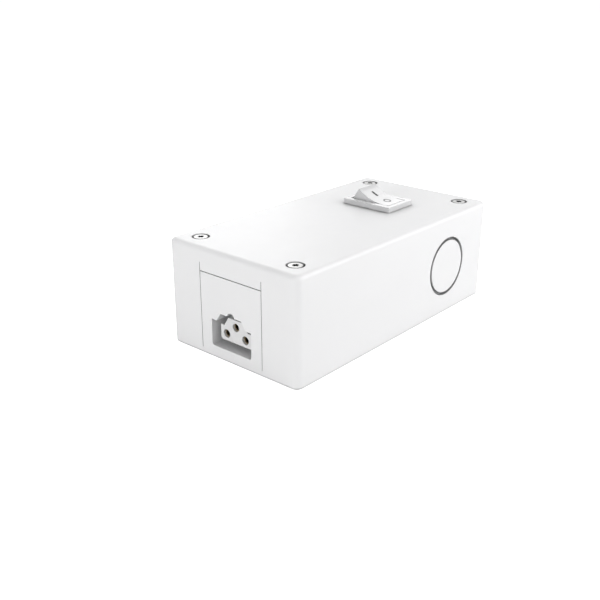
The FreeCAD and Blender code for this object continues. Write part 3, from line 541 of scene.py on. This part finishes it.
def make_symbols():
    ink = symbol_ink("symbol_ink", INK_TINT)
    bar = []
    for i in range(BAR_STEPS + 1):
        along = -BAR_OFFSET + BAR_LENGTH * (i / BAR_STEPS - 0.5)
        bar.append(((along, -BAR_WIDTH / 2), (along, BAR_WIDTH / 2)))
    centre = Vector((RING_OFFSET, 0))
    outer_r = RING_R + RING_WIDTH / 2
    inner_r = RING_R - RING_WIDTH / 2
    ring = []
    for i in range(RING_STEPS):
        angle = math.tau * i / RING_STEPS
        turn = Vector((math.cos(angle), math.sin(angle)))
        ring.append((centre + turn * outer_r, centre + turn * inner_r))
    for name, columns, closed in (("on_symbol", bar, False), ("off_symbol", ring, True)):
        symbol = laid_on_rocker(name, columns, closed)
        symbol.data.materials.append(ink)
        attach(symbol, "rocker")


# ---------------------------------------------------------------- stage, lights and camera

def make_floor(centre, ground):
    """A wide pale floor. The camera sees it lifted to near white, so only the closest shadow shows."""
    mesh = bmesh.new()
    bmesh.ops.create_grid(mesh, x_segments=1, y_segments=1, size=FLOOR_HALF)
    data = bpy.data.meshes.new("floor")
    mesh.to_mesh(data)
    mesh.free()
    floor = bpy.data.objects.new("floor", data)
    floor.location = (centre.x, centre.y, ground)
    bpy.context.scene.collection.objects.link(floor)
    s = Shader("floor")
    seen = s.add("ShaderNodeLightPath").outputs["Is Camera Ray"]
    tone = s.remap(s.noise(FLOOR_PATCH), FLOOR_TONE * FLOOR_UNEVEN, FLOOR_TONE)
    grey = s.add("ShaderNodeCombineColor", {"Red": tone, "Green": tone, "Blue": tone}).outputs["Color"]
    data.materials.append(s.finish({
        "Base Color": grey,
        "Roughness": FLOOR_ROUGHNESS,
        "Specular IOR Level": 0.0,
        "Emission Color": WHITE,
        "Emission Strength": s.maths("MULTIPLY_ADD", seen, FLOOR_LIFT, FLOOR_GLOW),
    }))


def direction_from(azimuth, elevation):
    """Unit vector towards a place round the object. Azimuth 0 is its front, where Y is lowest."""
    a = math.radians(azimuth)
    e = math.radians(elevation)
    return Vector((math.sin(a) * math.cos(e), -math.cos(a) * math.cos(e), math.sin(e)))


def make_lights(centre):
    """Softboxes that face the object and don't show in the picture."""
    for name, (azimuth, elevation, distance, size, power) in LIGHTS.items():
        data = bpy.data.lights.new(name, "AREA")
        data.shape = "SQUARE"
        data.size = size
        data.energy = power
        light = bpy.data.objects.new(name, data)
        outward = direction_from(azimuth, elevation)
        light.location = centre + outward * distance
        light.rotation_mode = "QUATERNION"
        light.rotation_quaternion = (-outward).to_track_quat("-Z", "Y")
        light.visible_camera = False
        bpy.context.scene.collection.objects.link(light)


def make_surroundings():
    """An even dim world for the light, and a plain white one behind the object for the camera."""
    world = bpy.data.worlds.new("studio")
    world.use_nodes = True
    nodes = world.node_tree.nodes
    links = world.node_tree.links
    background = nodes["Background"]
    background.inputs["Color"].default_value = WHITE
    background.inputs["Strength"].default_value = WORLD_STRENGTH
    backdrop = nodes.new("ShaderNodeBackground")
    backdrop.inputs["Color"].default_value = WHITE
    backdrop.inputs["Strength"].default_value = BACKDROP_STRENGTH
    seen = nodes.new("ShaderNodeLightPath")
    choose = nodes.new("ShaderNodeMixShader")
    links.new(seen.outputs["Is Camera Ray"], choose.inputs["Fac"])
    links.new(background.outputs["Background"], choose.inputs[1])
    links.new(backdrop.outputs["Background"], choose.inputs[2])
    links.new(choose.outputs["Shader"], nodes["World Output"].inputs["Surface"])
    bpy.context.scene.world = world


def make_camera(centre):
    data = bpy.data.cameras.new("camera")
    data.lens = LENS
    data.sensor_width = SENSOR_WIDTH
    data.clip_start = CLIP_START
    data.clip_end = CLIP_END
    camera = bpy.data.objects.new("camera", data)
    back = direction_from(AZIMUTH, ELEVATION)
    camera.location = centre + AIM_OFFSET + back * DISTANCE
    camera.rotation_mode = "QUATERNION"
    aim = (-back).to_track_quat("-Z", "Y")
    camera.rotation_quaternion = aim @ Matrix.Rotation(math.radians(ROLL), 4, "Z").to_quaternion()
    bpy.context.scene.collection.objects.link(camera)
    bpy.context.scene.camera = camera


paint_nodes()
make_coil()
make_symbols()
low, high = cad_box
middle = (low + high) / 2
make_floor(middle, low.z)
make_lights(middle)
make_surroundings()
make_camera(middle)
bpy.context.scene.view_settings.view_transform = "Standard"
